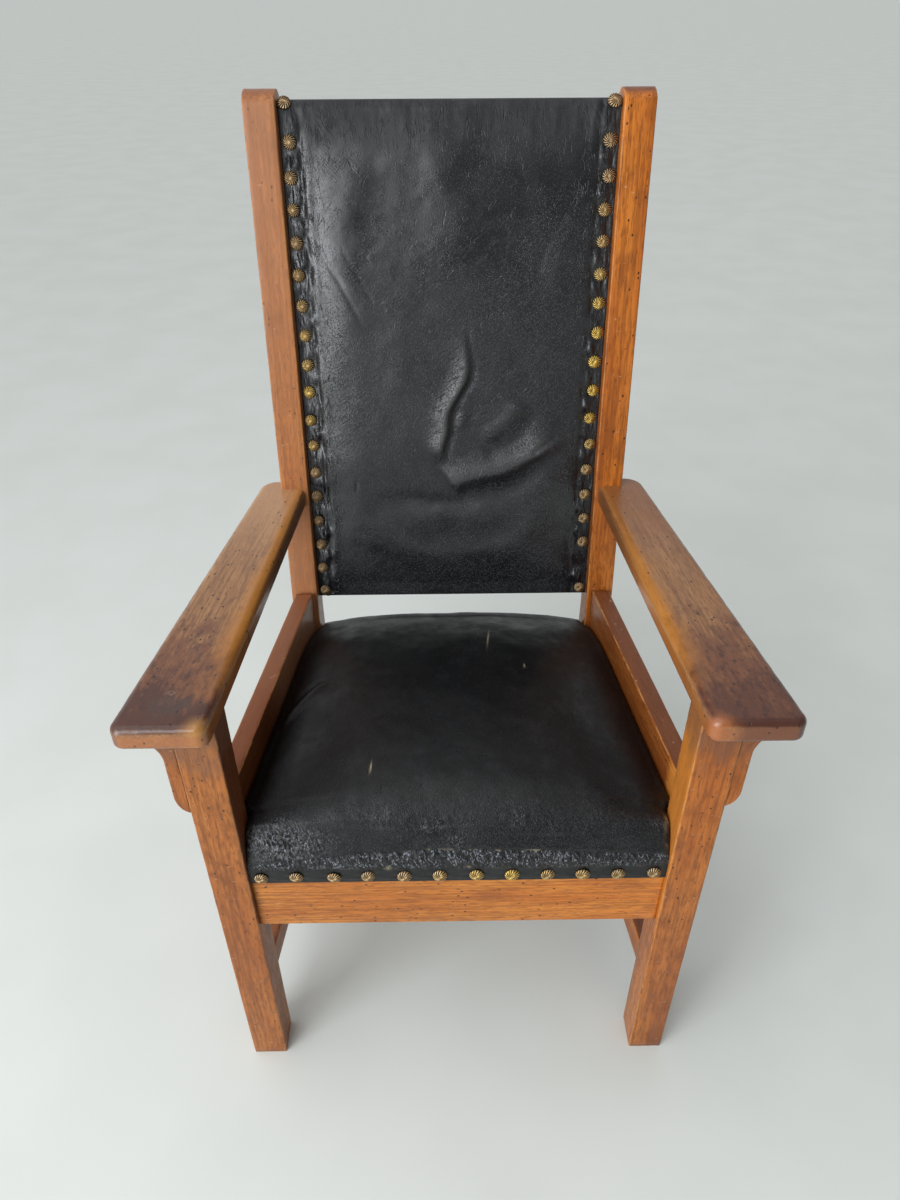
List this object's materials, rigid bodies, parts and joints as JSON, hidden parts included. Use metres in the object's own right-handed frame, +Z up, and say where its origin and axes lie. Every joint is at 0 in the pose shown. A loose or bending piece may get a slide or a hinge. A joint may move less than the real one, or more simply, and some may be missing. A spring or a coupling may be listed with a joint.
{
  "type": "high-backed armchair",
  "caption": "High-backed wooden armchair with flat tapering arms on corbels, low stretchers, and a black leather seat and back fixed with domed nails.",
  "frame": {"origin": "middle of the chair's footprint on the floor, under the centre of its bounding box", "axes": "+X to the right as seen from the front, across the chair; -Y toward the sitter's feet, so the front faces -Y; +Z up"},
  "size_m": [0.6814, 0.6254, 1.15],
  "materials": {
    "wood": "old polish, satin, orange brown",
    "arm_wood": "old polish, worn and darkened",
    "black_leather": "worn, creased, semi-gloss",
    "antique_brass": "antique, embossed, worn",
    "jute": "woven",
    "stuffing": "curled hair",
    "steel": "plain"
  },
  "bodies": {
    "root": {"left_front_leg": "wood", "right_front_leg": "wood", "left_back_post": "wood", "right_back_post": "wood", "left_corbel": "wood", "right_corbel": "wood", "front_seat_rail": "wood", "rear_seat_rail": "wood", "left_side_rail": "wood", "right_side_rail": "wood", "left_lower_stretcher": "wood", "right_lower_stretcher": "wood", "rear_stretcher": "wood", "left_seat_ledger": "wood", "right_seat_ledger": "wood", "leg_dowels": "wood", "post_dowels": "wood", "corbel_dowels": "wood", "back_top_rail": "wood", "back_bottom_rail": "wood", "back_left_stile": "wood", "back_right_stile": "wood", "left_arm": "arm_wood", "right_arm": "arm_wood", "ledger_screws": "steel", "seat_webbing": "jute", "seat_hessian": "jute", "back_webbing": "jute", "seat_stuffing": "stuffing", "back_stuffing": "stuffing", "seat_leather": "black_leather", "back_leather": "black_leather", "back_rear_cover": "black_leather", "seat_front_nails": "antique_brass", "left_back_nails": "antique_brass", "right_back_nails": "antique_brass", "rear_cover_tacks": "antique_brass"}
  },
  "joints": []
}
